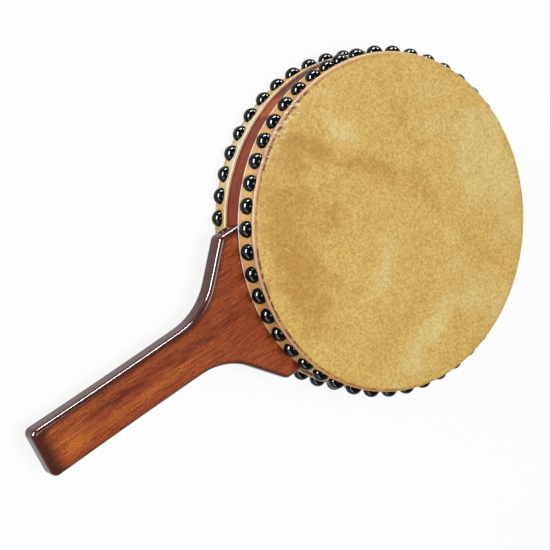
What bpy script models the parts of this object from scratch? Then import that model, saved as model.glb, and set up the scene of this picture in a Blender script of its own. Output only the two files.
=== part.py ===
"""Double-headed handle drum.

A shallow turned wood shell carries a hide on each side. Each hide is folded over the
shell's bearing edge and held by a row of domed studs, and a flat yoke handle is screwed
to the bare wood between the two hides. The drum lies on its back head: Z is the drum's
axis, the origin is the middle of the back head's face, and the handle points to -Y.
"""

import math

import bmesh
import bpy
import numpy as np
from mathutils import Matrix

# Shell
SHELL_DIAMETER = 0.2086
SHELL_DEPTH = 0.0425
SHELL_WALL = 0.0100
BEARING_RADIUS = 0.0010
BORE_CHAMFER = 0.0020

# Hides
HIDE_THICKNESS = 0.0016
FOLD_RADIUS = 0.0020
SKIRT_DEPTH = 0.0159

# Studs
STUD_COUNT = 49
STUD_ROW_DEPTH = 0.0071
STUD_DIAMETER = 0.0099
STUD_HEIGHT = 0.0034
SHANK_WIDTH = 0.0018
SHANK_LENGTH = 0.0090
PILOT_POINT_GAP = 0.0015
FRONT_ROW_TURN = math.radians(2.6)
BACK_ROW_TURN = math.radians(-0.9)
# How far the hand-set front studs stand off an even spacing: stud number and degrees
FRONT_ROW_DRIFT = ((0, -0.3), (3, -0.3), (5, -0.8), (9, 0.0), (14, 0.9), (20, 1.3), (27, 2.0),
                   (31, 3.0), (34, 3.7), (35, 3.4), (36, 1.8), (37, 0.7), (39, 0.3), (42, -0.3),
                   (49, -0.3))

# Handle
HANDLE_SIDE_GAP = 0.0006
HORN_SPREAD = 0.0992
HORN_TIP_LENGTH = 0.0138
HORN_TIP_RADIUS = 0.0040
HORN_SLOPE = math.radians(48.0)
COVE_RADIUS = 0.0410
NECK_WIDTH = 0.0304
GRIP_LENGTH = 0.1053
GRIP_WAIST = 0.0006
BUTT_WIDTH = 0.0302
BUTT_CORNER_RADIUS = 0.0046
EDGE_ROUNDING = 0.0040

# Handle screws
SCREW_LENGTH = 0.0220
SCREW_DIAMETER = 0.0035
SCREW_HEAD_DIAMETER = 0.0070
SCREW_HEAD_DEPTH = 0.0022
SCREW_SPREAD = math.radians(14.0)

# Clearance between pieces that touch, and the number of flats that rounds are made of
FIT_GAP = 0.0003
TURN_STEPS = 72
STUD_SIDES = 10
SCREW_SIDES = 12
MERGE_DISTANCE = 0.00001

# Places that follow from the sizes
SHELL_RADIUS = SHELL_DIAMETER / 2
BORE_RADIUS = SHELL_RADIUS - SHELL_WALL
HIDE_INNER_RADIUS = SHELL_RADIUS + FIT_GAP
HIDE_OUTER_RADIUS = HIDE_INNER_RADIUS + HIDE_THICKNESS
FOLD_INNER_RADIUS = BEARING_RADIUS + FIT_GAP
SHELL_BOTTOM = HIDE_THICKNESS + FIT_GAP
SHELL_TOP = SHELL_BOTTOM + SHELL_DEPTH
DRUM_DEPTH = SHELL_TOP + SHELL_BOTTOM
MID_HEIGHT = DRUM_DEPTH / 2
SEAT_RADIUS = SHELL_RADIUS + FIT_GAP
HANDLE_THICKNESS = DRUM_DEPTH - 2 * SKIRT_DEPTH - 2 * HANDLE_SIDE_GAP
HANDLE_DIRECTION = -math.pi / 2


def arc(centre_x, centre_y, radius, start, end, steps):
    """Points along an arc, both ends included."""
    points = []
    for step in range(steps + 1):
        angle = start + (end - start) * step / steps
        points.append((centre_x + radius * math.cos(angle), centre_y + radius * math.sin(angle)))
    return points


def make_material(name, colour, roughness, metallic=0.0):
    material = bpy.data.materials.new(name)
    material.use_nodes = True
    shader = material.node_tree.nodes["Principled BSDF"]
    shader.inputs["Base Color"].default_value = (*colour, 1.0)
    shader.inputs["Roughness"].default_value = roughness
    shader.inputs["Metallic"].default_value = metallic
    material.diffuse_color = (*colour, 1.0)
    return material


def add_object(name, mesh, collection, material=None):
    item = bpy.data.objects.new(name, mesh)
    collection.objects.link(item)
    if material:
        mesh.materials.clear()
        mesh.materials.append(material)
    return item


def hide_tool(item):
    """Mark an object as a cutter or a tool that isn't a piece of the drum."""
    item.hide_render = True
    item.display_type = "WIRE"


def evaluated_mesh(item, name):
    """The mesh that an object's modifiers or its curve give, welded."""
    graph = bpy.context.evaluated_depsgraph_get()
    mesh = bpy.data.meshes.new_from_object(item.evaluated_get(graph))
    mesh.name = name
    shape = bmesh.new()
    shape.from_mesh(mesh)
    bmesh.ops.remove_doubles(shape, verts=shape.verts, dist=MERGE_DISTANCE)
    shape.to_mesh(mesh)
    shape.free()
    return mesh


def smooth(mesh):
    mesh.shade_smooth()
    mesh.set_sharp_from_angle(angle=math.radians(35))


def turned(name, profile, closed, steps, collection, material=None):
    """A profile in the XZ plane, running down its outer side, turned about Z."""
    mesh = bpy.data.meshes.new(name)
    edges = [(index, index + 1) for index in range(len(profile) - 1)]
    if closed:
        edges.append((len(profile) - 1, 0))
    mesh.from_pydata([(x, 0.0, z) for x, z in profile], edges, [])
    item = add_object(name, mesh, collection, material)
    screw = item.modifiers.new("turn", "SCREW")
    screw.axis = "Z"
    screw.steps = steps
    screw.render_steps = steps
    screw.use_merge_vertices = True
    screw.merge_threshold = MERGE_DISTANCE
    screw.use_smooth_shade = True
    return item


def boolean(item, tool, operation):
    modifier = item.modifiers.new(tool.name, "BOOLEAN")
    modifier.operation = operation
    modifier.solver = "EXACT"
    modifier.object = tool


def around(angle, radius, height):
    """A frame whose Z axis points out of the drum's side at an angle round it."""
    turn = Matrix.Rotation(angle, 4, "Z") @ Matrix.Rotation(math.pi / 2, 4, "Y")
    place = Matrix.Translation((radius * math.cos(angle), radius * math.sin(angle), height))
    return place @ turn


def joined_copies(name, mesh, frames, collection):
    """One object that holds a copy of a mesh in each frame."""
    shape = bmesh.new()
    for frame in frames:
        before = len(shape.verts)
        shape.from_mesh(mesh)
        shape.verts.ensure_lookup_table()
        bmesh.ops.transform(shape, matrix=frame, verts=shape.verts[before:])
    result = bpy.data.meshes.new(name)
    shape.to_mesh(result)
    shape.free()
    item = add_object(name, result, collection)
    hide_tool(item)
    return item


def row_angles(turn, drift):
    """The studs' directions, evenly spaced from the handle's but for the row's drift in degrees."""
    index = np.arange(STUD_COUNT)
    return HANDLE_DIRECTION + turn + 2 * math.pi * index / STUD_COUNT + np.radians(drift)


def front_frames(seat_radius):
    numbers, degrees = zip(*FRONT_ROW_DRIFT)
    drift = np.interp(np.arange(STUD_COUNT), numbers, degrees)
    height = DRUM_DEPTH - STUD_ROW_DEPTH
    return [around(angle, seat_radius, height) for angle in row_angles(FRONT_ROW_TURN, drift)]


def back_frames(seat_radius):
    return [around(angle, seat_radius, STUD_ROW_DEPTH) for angle in row_angles(BACK_ROW_TURN, 0.0)]


def stud_mesh(collection, material):
    """A domed head with a tapered square shank, its seat at Z = 0."""
    radius = STUD_DIAMETER / 2
    dome = [(radius * math.sin(step * math.pi / 6), STUD_HEIGHT * math.cos(step * math.pi / 6))
            for step in range(3)]
    profile = dome + [(radius, 0.0), (0.0, 0.0)]
    head = turned("stud_head", profile, False, STUD_SIDES, collection, material)
    shank = square_pin("stud_shank", SHANK_WIDTH, STUD_HEIGHT / 3, SHANK_LENGTH, collection)
    boolean(head, shank, "UNION")
    mesh = evaluated_mesh(head, "domed_stud")
    smooth(mesh)
    for item in (head, shank):
        bpy.data.objects.remove(item)
    return mesh


def square_pin(name, seat_width, above, below, collection):
    """A square pin that tapers to a point below its seat and grows on above it."""
    top_width = seat_width * (above + below) / below
    middle = Matrix.Translation((0, 0, (above - below) / 2))
    shape = bmesh.new()
    bmesh.ops.create_cone(
        shape, cap_ends=True, segments=4, radius1=0.0, radius2=top_width / math.sqrt(2),
        depth=above + below, matrix=middle @ Matrix.Rotation(math.pi / 4, 4, "Z"))
    bmesh.ops.remove_doubles(shape, verts=shape.verts, dist=MERGE_DISTANCE)
    mesh = bpy.data.meshes.new(name)
    shape.to_mesh(mesh)
    shape.free()
    return add_object(name, mesh, collection)


def make_pilot_holes(collection):
    """The square holes that the studs' shanks go into, through both hides into the shell."""
    hole_width = SHANK_WIDTH + 2 * FIT_GAP
    pin = square_pin("pilot_pin", hole_width, STUD_HEIGHT / 2, SHANK_LENGTH + PILOT_POINT_GAP, collection)
    frames = front_frames(HIDE_OUTER_RADIUS + FIT_GAP) + back_frames(HIDE_OUTER_RADIUS - FIT_GAP)
    holes = joined_copies("pilot_holes", pin.data, frames, collection)
    bpy.data.objects.remove(pin)
    return holes


def screw_profile(clearance):
    """The wood screw's outline from its flat head down to its point, grown by a clearance."""
    head = SCREW_HEAD_DIAMETER / 2 + clearance
    shank = SCREW_DIAMETER / 2 + clearance
    return [(0.0, clearance), (head, clearance), (head, 0.0), (shank, -SCREW_HEAD_DEPTH),
            (shank, SCREW_DIAMETER - SCREW_LENGTH), (0.0, -SCREW_LENGTH - clearance)]


def screw_frames():
    """The head lies just under the bore's surface and the point lies in the yoke."""
    head_radius = BORE_RADIUS + 2 * FIT_GAP
    frames = []
    for share in (-1, 0, 1):
        frame = around(HANDLE_DIRECTION + share * SCREW_SPREAD, head_radius, MID_HEIGHT)
        frames.append(frame @ Matrix.Rotation(math.pi, 4, "X"))
    return frames


def make_screw_holes(collection):
    """The countersunk holes through the shell and into the yoke."""
    hole = turned("screw_hole", screw_profile(FIT_GAP), False, SCREW_SIDES, collection)
    mouth = hole.data.vertices
    for index in (0, 1):
        mouth[index].co.z = SHELL_WALL / 2
    mesh = evaluated_mesh(hole, "screw_hole")
    bpy.data.objects.remove(hole)
    return joined_copies("screw_holes", mesh, screw_frames(), collection)


def make_shell(collection, material):
    """The turned ring, with rounded bearing edges and a chamfered bore."""
    inner = SHELL_RADIUS - BEARING_RADIUS
    top_round = arc(inner, SHELL_TOP - BEARING_RADIUS, BEARING_RADIUS, math.pi / 2, 0, 2)
    low_round = arc(inner, SHELL_BOTTOM + BEARING_RADIUS, BEARING_RADIUS, 0, -math.pi / 2, 2)
    profile = [(BORE_RADIUS, SHELL_TOP - BORE_CHAMFER), (BORE_RADIUS + BORE_CHAMFER, SHELL_TOP)]
    profile += top_round + low_round
    profile += [(BORE_RADIUS + BORE_CHAMFER, SHELL_BOTTOM), (BORE_RADIUS, SHELL_BOTTOM + BORE_CHAMFER)]
    return turned("shell", profile, True, TURN_STEPS, collection, material)


def make_head(name, collection, material):
    """A hide stretched flat, folded over the bearing edge and cut off as a skirt.

    Its playing face is at Z = 0 and its skirt hangs down.
    """
    outer_fold = arc(HIDE_OUTER_RADIUS - FOLD_RADIUS, -FOLD_RADIUS, FOLD_RADIUS, math.pi / 2, 0, 3)
    inner_fold = arc(HIDE_INNER_RADIUS - FOLD_INNER_RADIUS, -HIDE_THICKNESS - FOLD_INNER_RADIUS,
                     FOLD_INNER_RADIUS, 0, math.pi / 2, 2)
    profile = [(0.0, 0.0)] + outer_fold
    profile += [(HIDE_OUTER_RADIUS, -SKIRT_DEPTH), (HIDE_INNER_RADIUS, -SKIRT_DEPTH)]
    profile += inner_fold + [(0.0, -HIDE_THICKNESS)]
    return turned(name, profile, False, TURN_STEPS, collection, material)


def handle_outline():
    """Half of the outline, from the middle of the concave seat round to the butt's middle."""
    horn = HORN_SPREAD / 2
    neck = NECK_WIDTH / 2
    butt = BUTT_WIDTH / 2
    seat_turn = math.asin(horn / SEAT_RADIUS)
    seat = arc(0, 0, SEAT_RADIUS, HANDLE_DIRECTION, HANDLE_DIRECTION + seat_turn, 8)
    tip_y = -SEAT_RADIUS * math.cos(seat_turn) - HORN_TIP_LENGTH
    # The tip's corner turns from straight down to the horn's slope
    tip_centre_y = tip_y + HORN_TIP_RADIUS * math.tan(HORN_SLOPE / 2)
    tip = arc(horn - HORN_TIP_RADIUS, tip_centre_y, HORN_TIP_RADIUS, 0, -HORN_SLOPE, 3)
    cove_x = neck + COVE_RADIUS * (1 - math.cos(HORN_SLOPE))
    cove_y = tip_y - (horn - cove_x) / math.tan(HORN_SLOPE)
    neck_y = cove_y - COVE_RADIUS * math.sin(HORN_SLOPE)
    cove = arc(neck + COVE_RADIUS, neck_y, COVE_RADIUS, math.pi - HORN_SLOPE, math.pi, 8)
    butt_y = neck_y - GRIP_LENGTH
    side = []
    side_length = GRIP_LENGTH - BUTT_CORNER_RADIUS
    for step in range(1, 8):
        share = step / 7
        waist = GRIP_WAIST / 2 * 4 * share * (1 - share)
        side.append((neck + (butt - neck) * share - waist, neck_y - side_length * share))
    corner = arc(butt - BUTT_CORNER_RADIUS, butt_y + BUTT_CORNER_RADIUS, BUTT_CORNER_RADIUS,
                 0, -math.pi / 2, 4)
    return seat + tip + cove + side + corner[1:]


def make_handle(collection, material):
    """A flat board sawn to a yoke and grip, its edges rounded except at the seat."""
    half = handle_outline()
    mirrored = [(-x, y) for x, y in reversed(half) if x > MERGE_DISTANCE]
    outline = half + mirrored
    curve = bpy.data.curves.new("handle_outline", "CURVE")
    curve.dimensions = "2D"
    curve.fill_mode = "BOTH"
    curve.extrude = HANDLE_THICKNESS / 2
    spline = curve.splines.new("POLY")
    spline.points.add(len(outline) - 1)
    for point, (x, y) in zip(spline.points, outline):
        point.co = (x, y, 0.0, 1.0)
    spline.use_cyclic_u = True
    drawn = bpy.data.objects.new("handle_outline", curve)
    drawn.location.z = MID_HEIGHT
    collection.objects.link(drawn)
    bpy.context.view_layer.update()
    mesh = evaluated_mesh(drawn, "handle")
    item = add_object("handle", mesh, collection, material)
    item.matrix_world = drawn.matrix_world
    bpy.data.objects.remove(drawn)
    mark_rounded_edges(mesh)
    bevel = item.modifiers.new("rounded_edges", "BEVEL")
    bevel.limit_method = "WEIGHT"
    bevel.offset_type = "OFFSET"
    bevel.width = EDGE_ROUNDING
    bevel.segments = 3
    return item


def mark_rounded_edges(mesh):
    """Give a bevel weight to the board's outline edges, but not to those of its seat."""
    weights = mesh.attributes.new("bevel_weight_edge", "FLOAT", "EDGE")
    shape = bmesh.new()
    shape.from_mesh(mesh)
    shape.edges.ensure_lookup_table()
    rounded = []
    for edge in shape.edges:
        start, end = (vertex.co for vertex in edge.verts)
        on_board_face = abs(start.z - end.z) < MERGE_DISTANCE
        on_outline = edge.calc_face_angle(0.0) > math.radians(45)
        on_seat = max(start.xy.length, end.xy.length) < SEAT_RADIUS + MERGE_DISTANCE
        rounded.append(1.0 if on_board_face and on_outline and not on_seat else 0.0)
    shape.free()
    weights.data.foreach_set("value", rounded)


def main():
    for item in list(bpy.data.objects):
        bpy.data.objects.remove(item, do_unlink=True)
    scene = bpy.context.scene.collection
    drum = bpy.data.collections.new("handle_drum")
    tools = bpy.data.collections.new("cutters")
    scene.children.link(drum)
    scene.children.link(tools)

    shell_wood = make_material("shell_wood", (0.20, 0.055, 0.030), 0.35)
    handle_wood = make_material("handle_wood", (0.23, 0.045, 0.025), 0.22)
    hide = make_material("hide", (0.66, 0.42, 0.20), 0.50)
    enamel = make_material("black_enamel", (0.010, 0.009, 0.010), 0.12)
    steel = make_material("screw_steel", (0.55, 0.53, 0.50), 0.35, 1.0)

    stud = stud_mesh(tools, enamel)
    pilot_holes = make_pilot_holes(tools)
    screw_holes = make_screw_holes(tools)

    shell = make_shell(drum, shell_wood)
    boolean(shell, pilot_holes, "DIFFERENCE")
    boolean(shell, screw_holes, "DIFFERENCE")

    front_head = make_head("front_head", drum, hide)
    front_head.location.z = DRUM_DEPTH
    boolean(front_head, pilot_holes, "DIFFERENCE")
    for number, frame in enumerate(front_frames(HIDE_OUTER_RADIUS + FIT_GAP), start=1):
        piece = add_object(f"front_stud_{number:02d}", stud, drum)
        piece.matrix_world = frame

    # The back row is one piece with its hide, with the studs let into it by the fit gap.
    back_head = make_head("back_head", drum, hide)
    back_head.rotation_euler.x = math.pi
    back_studs = joined_copies("back_studs", stud, back_frames(HIDE_OUTER_RADIUS - FIT_GAP), tools)
    boolean(back_head, back_studs, "UNION")

    handle = make_handle(drum, handle_wood)
    boolean(handle, screw_holes, "DIFFERENCE")
    for number, frame in enumerate(screw_frames(), start=1):
        screw = turned(f"handle_screw_{number}", screw_profile(0.0), False, SCREW_SIDES, drum, steel)
        screw.matrix_world = frame


main()
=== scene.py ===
# %% [markdown]
# # A double-headed handle drum
# The real drum is a shallow wooden ring with a rawhide nailed over each side, and a flat
# yoke handle fixed to the bare wood between the two hides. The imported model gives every
# piece its size and place. This lesson gives each piece its fine surface and its finish.

import math

import bmesh
import bpy
import numpy as np
from mathutils import Matrix, Vector


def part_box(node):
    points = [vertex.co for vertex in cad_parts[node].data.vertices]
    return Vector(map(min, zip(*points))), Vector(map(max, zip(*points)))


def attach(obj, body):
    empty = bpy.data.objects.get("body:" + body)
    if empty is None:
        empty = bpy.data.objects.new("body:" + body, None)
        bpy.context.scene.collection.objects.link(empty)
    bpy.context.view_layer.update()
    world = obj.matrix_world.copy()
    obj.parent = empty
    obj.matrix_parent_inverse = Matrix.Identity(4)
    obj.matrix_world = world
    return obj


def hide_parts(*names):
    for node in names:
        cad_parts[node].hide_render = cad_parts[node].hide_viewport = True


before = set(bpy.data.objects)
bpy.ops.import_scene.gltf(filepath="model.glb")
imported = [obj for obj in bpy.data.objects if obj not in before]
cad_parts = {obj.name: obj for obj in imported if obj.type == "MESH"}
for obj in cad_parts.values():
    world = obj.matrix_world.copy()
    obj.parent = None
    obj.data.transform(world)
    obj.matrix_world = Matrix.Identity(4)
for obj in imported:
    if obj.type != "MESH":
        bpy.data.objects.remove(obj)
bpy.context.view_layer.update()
MM = 0.001
print("nodes in the packed model:", len(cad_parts))

# %% [markdown]
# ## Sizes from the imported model
# Sizes could be typed in again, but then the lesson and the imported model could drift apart.
# A box round a turned piece gives its radius and its ends, so most sizes are read. The few
# that a box can't show, such as the gap between pieces, are named where they are first needed.

# %% Read the sizes
shell_low, shell_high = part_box("shell")
hide_low, hide_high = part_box("front_head")
handle_low, handle_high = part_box("handle")

FIT_GAP = 0.3 * MM
SHELL_RADIUS = shell_high.x
HIDE_RADIUS = hide_high.x
HIDE_THICKNESS = HIDE_RADIUS - SHELL_RADIUS - FIT_GAP
DRUM_DEPTH = hide_high.z
SKIRT_DEPTH = hide_high.z - hide_low.z
HANDLE_ANGLE = -math.pi / 2
print(f"hide {HIDE_RADIUS * 2 / MM:.1f} mm across, drum {DRUM_DEPTH / MM:.1f} mm deep")

# %% [markdown]
# ## Surfaces from grids
# Skin, wood and enamel all have smooth surfaces that follow a few plain curves. They could
# be modelled from Blender's cylinders and cubes, but a formula puts each point where the
# real surface runs. So every new piece is one or more grids of points worked out with
# numpy. A grid becomes quads by index arithmetic, several grids are welded where they meet,
# and a pole, where a whole row lies on one point, closes in the same weld. A piece may carry
# numbers on its vertices, which its material reads to know where an edge or a fold is.


# %% Turn grids into a mesh
WELD_REACH = 1e-6


def grid_quads(rows, columns, first):
    """Corner numbers of the quads of a rows by columns grid whose points start at first."""
    corner = np.arange(rows * columns).reshape(rows, columns) + first
    quads = [corner[:-1, :-1], corner[1:, :-1], corner[1:, 1:], corner[:-1, 1:]]
    return np.stack(quads, axis=-1).reshape(-1, 4)


def add_piece(name, grids, finish, marks=None, sharp=40.0, replaces=()):
    """A closed piece from grids of points, each of shape (rows, columns, 3).

    marks maps an attribute's name to one array of numbers for each grid. An edge where the
    faces turn by more than sharp degrees shades as a sharp one.
    """
    counts = [grid.shape[0] * grid.shape[1] for grid in grids]
    starts = np.concatenate([[0], np.cumsum(counts)[:-1]])
    points = np.concatenate([grid.reshape(-1, 3) for grid in grids])
    quads = [grid_quads(*grid.shape[:2], start) for grid, start in zip(grids, starts)]
    mesh = bpy.data.meshes.new(name)
    mesh.from_pydata(points, [], np.concatenate(quads).tolist())
    for mark, values in (marks or {}).items():
        layer = mesh.attributes.new(mark, "FLOAT", "POINT")
        numbers = np.concatenate([part.ravel() for part in values])
        layer.data.foreach_set("value", numbers.astype(np.float32))
    weld(mesh)
    mesh.shade_smooth()
    mesh.set_sharp_from_angle(angle=math.radians(sharp))
    mesh.materials.append(finish)
    piece = bpy.data.objects.new(name, mesh)
    bpy.context.scene.collection.objects.link(piece)
    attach(piece, "root")
    if replaces:
        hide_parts(*replaces)
    return piece


def weld(mesh):
    """Join points that coincide, and turn the faces outwards if the volume comes out negative."""
    shape = bmesh.new()
    shape.from_mesh(mesh)
    bmesh.ops.remove_doubles(shape, verts=shape.verts, dist=WELD_REACH)
    if shape.calc_volume(signed=True) < 0:
        bmesh.ops.reverse_faces(shape, faces=shape.faces)
    shape.to_mesh(mesh)
    shape.free()


print("quads in a grid of 3 by 4 points:", len(grid_quads(3, 4, 0)))

# %% [markdown]
# ## The barrel shape
# The drum is a shade fuller at its middle than at its faces, as carved shells are, and this
# one more so on the handle's side. A lattice could squeeze the finished pieces, but hides,
# shell and studs have to stay together to a tenth of a millimetre, so they all lean in by
# this one formula.


# %% How far the drum leans in
BARREL_SAG = 1.25 * MM
BARREL_SWING = 1.25 * MM
FULL_SIDE = math.radians(60)
HALF_DEPTH = DRUM_DEPTH / 2


def sag(angle):
    """S - W cos(a - a0): how far the drum's faces are narrower than its middle, at an angle."""
    return BARREL_SAG - BARREL_SWING * np.cos(angle - FULL_SIDE)


def lean_in(angle, height):
    """The sag times the square of the height from the middle, as a share of half the depth."""
    return sag(angle) * ((height - HALF_DEPTH) / HALF_DEPTH) ** 2


print(f"faces narrower by {sag(FULL_SIDE) / MM:.1f} to {sag(FULL_SIDE + math.pi) / MM:.1f} mm")

# %% [markdown]
# ## Shared formulas
# Four formulas serve several pieces: points carried round the drum's axis, an arc in a
# profile, a soft bump in a number, and a sum of soft spots, which says where a hide or a
# board is paler or darker. Written once, they can't come to differ between the pieces.


# %% Formulas that pieces share
def around_axis(radius, height, angles):
    """Points (r cos a, r sin a, z): a profile carried round the drum's axis."""
    return np.stack([radius * np.cos(angles), radius * np.sin(angles), height + 0 * angles], axis=-1)


def bend(centre_x, centre_y, radius, start, end, steps):
    """Points on an arc, two columns, for angles in radians."""
    turn = np.linspace(start, end, steps)
    return np.stack([centre_x + radius * np.cos(turn), centre_y + radius * np.sin(turn)], axis=-1)


def hump(value, middle, width):
    """exp(-((v - middle) / width)^2): 1 at the middle, fading on both sides."""
    return np.exp(-(((value - middle) / width) ** 2))


def soft_spots(x, y, spots):
    """A sum of soft ovals, each (x, y, half length, half width, turn in degrees, amount), in mm."""
    total = np.zeros_like(x)
    for middle_x, middle_y, length, width, turn, amount in spots:
        along = math.radians(turn)
        u = (x - middle_x) * math.cos(along) + (y - middle_y) * math.sin(along)
        v = (y - middle_y) * math.cos(along) - (x - middle_x) * math.sin(along)
        total += amount * hump(u, 0, length) * hump(v, 0, width)
    return total


print(f"a hump one width from its middle: {hump(1, 0, 1):.2f}")

# %% [markdown]
# ## Finishes written as sums
# Stains and dirt lie where a few conditions meet: near an edge, where the skin is pale, on a
# streak. Such a mask could be wired by hand in the node editor, but it reads better as the
# formula that it is. So one small class wraps a socket and overloads the operators. Its ramp
# turns a number into a soft mask between two limits.


# %% A socket that can be added and multiplied
class Amount:
    """A number that changes over a surface, as a shader socket."""

    def __init__(self, finish, socket):
        self.finish = finish
        self.socket = socket

    def math(self, operation, *others):
        """Add a Math node that works on this amount and the others."""
        values = dict(enumerate((self, *others)))
        return self.finish.node("Math", {"operation": operation}, values)

    def __add__(self, other):
        return self.math("ADD", other)

    def __sub__(self, other):
        return self.math("SUBTRACT", other)

    def __mul__(self, other):
        return self.math("MULTIPLY", other)

    def __rsub__(self, other):
        return self * -1.0 + other

    def ramp(self, low, high):
        """0 below low, 1 above high, and a smooth rise between; low above high turns it round."""
        if low > high:
            return 1.0 - self.ramp(high, low)
        settings = {"interpolation_type": "SMOOTHSTEP"}
        values = {"Value": self, "From Min": low, "From Max": high}
        return self.finish.node("MapRange", settings, values)

    __radd__ = __add__
    __rmul__ = __mul__


# %% [markdown]
# A finish is one material. A painter lays thin coats over a ground, and a finish is built up
# the same way: each coat has a mask that says how much of it covers what lies below. One
# long colour ramp could do for a single pattern, but coats keep each mark apart, so each can
# be made stronger or weaker alone.


# %% A finish and its nodes
class Finish:
    """One material, with a method that adds any node to it."""

    def __init__(self, name, gloss):
        self.material = bpy.data.materials.new(name)
        self.material.use_nodes = True
        self.tree = self.material.node_tree
        self.shader = self.tree.nodes["Principled BSDF"]
        self.shader.inputs["Specular IOR Level"].default_value = gloss

    def node(self, kind, settings=None, values=None, output=0):
        """Add a node, set its options, then its sockets, and give back one of its outputs."""
        made = self.tree.nodes.new("ShaderNode" + kind)
        for option, choice in (settings or {}).items():
            setattr(made, option, choice)
        for key, value in (values or {}).items():
            self.join(self.find(made.inputs, key), value)
        return Amount(self, self.find(made.outputs, output))

    def find(self, sockets, key):
        """A socket by its number, or the one in use that has the name."""
        if isinstance(key, int):
            return sockets[key]
        return next(socket for socket in sockets if socket.name == key and socket.enabled)

    def join(self, socket, value):
        """Link a socket to an amount, or set it to a plain value."""
        if isinstance(value, Amount):
            self.tree.links.new(value.socket, socket)
        else:
            socket.default_value = value

    def feed(self, **values):
        """Link or set the shader's own sockets; an underscore stands for a space."""
        for key, value in values.items():
            self.join(self.shader.inputs[key.replace("_", " ")], value)

    def blend(self, share, first, second):
        """The first colour where the share is 0, the second where it is 1."""
        values = {"Factor": share, "A": first, "B": second}
        return self.node("Mix", {"data_type": "RGBA"}, values, "Result")

    def cover(self, colour, coats):
        """Lay coats over a colour one after the other, each a (mask, paint)."""
        for mask, coat in coats:
            colour = self.blend(mask, colour, coat)
        return colour

    def place(self, stretch=(1, 1, 1), turn=0.0):
        """Object coordinates in metres, turned about Z by some degrees, then squeezed by stretch."""
        here = self.node("TexCoord", output="Object")
        turned = self.node("Mapping", {}, {"Vector": here, "Rotation": (0, 0, math.radians(turn))})
        return self.node("VectorMath", {"operation": "MULTIPLY"}, {0: turned, 1: stretch})

    def noise(self, where, scale, detail=3.0, rough=0.5, warp=0.0):
        """A cloudy number round 0.5; scale is how many clouds there are to a metre."""
        values = {"Vector": where, "Scale": scale, "Detail": detail}
        values |= {"Roughness": rough, "Distortion": warp}
        return self.node("TexNoise", {}, values)

    def mark(self, name):
        """A number that the mesh carries on its vertices."""
        return self.node("Attribute", {"attribute_name": name}, output="Fac")

    def bump(self, height, distance):
        """Ripple the surface's light by a height of 0 to 1, which stands for the distance."""
        self.feed(Normal=self.node("Bump", {}, {"Height": height, "Distance": distance}))


def paint(red, green, blue):
    """A colour as read off a screen, 0 to 255, made linear."""
    screen = np.array([red, green, blue]) / 255
    linear = np.where(screen <= 0.04045, screen / 12.92, ((screen + 0.055) / 1.055) ** 2.4)
    return (*linear, 1.0)


print(f"a screen's middle grey, made linear: {paint(128, 128, 128)[0]:.3f}")

# %% [markdown]
# ## The rawhide's finish
# Rawhide is dried skin: tan, with broad paler and browner clouds, a fine pebble of pores and
# hair roots, and a soft sheen. A picture of skin could be laid on it, but a picture is only
# as sharp as its pixels, and noises stay fine up close. The mark tone says where the clouds
# lie. With two noises it makes the shade, which picks the tan. The dark coats then thin out
# where the skin is pale, and the light ones where it is brown.


# %% Tan the skin
def skin_colour(hide, tone, cloudy, pebble, fibre, fleck):
    """Brown, tan or pale by the shade, then coats of flecks, pebble, fibres and pores."""
    broad = hide.noise(hide.place((1, 1.7, 1), 25), 18.0, 4.0, 0.55, 0.6)
    pore = hide.noise(hide.place(), 1100.0, 1.0, 0.4)
    shade = tone + (broad - 0.5) * 1.2 + (cloudy - 0.5) * 2.4
    pale = shade.ramp(0.0, 1.3)
    lit = shade.ramp(-1.1, -0.1)
    colour = hide.blend(shade.ramp(-1.3, 0.2), paint(193, 146, 63), paint(218, 182, 95))
    return hide.cover(colour, [
        (pale, paint(225, 201, 132)),
        (fleck.ramp(0.52, 0.32) * (0.55 - pale * 0.25), paint(188, 136, 52)),
        (fleck.ramp(0.52, 0.70) * (0.2 + lit * 0.35), paint(234, 210, 148)),
        (pebble.ramp(0.54, 0.36) * (0.6 - pale * 0.25), paint(184, 136, 58)),
        (fleck.ramp(0.50, 0.36) * (0.55 - lit * 0.55), paint(160, 114, 46)),
        (fibre.ramp(0.56, 0.74) * (0.1 + lit * 0.2), paint(236, 210, 140)),
        (pore.ramp(0.31, 0.24) * 0.5, paint(140, 96, 48)),
    ])
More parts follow.
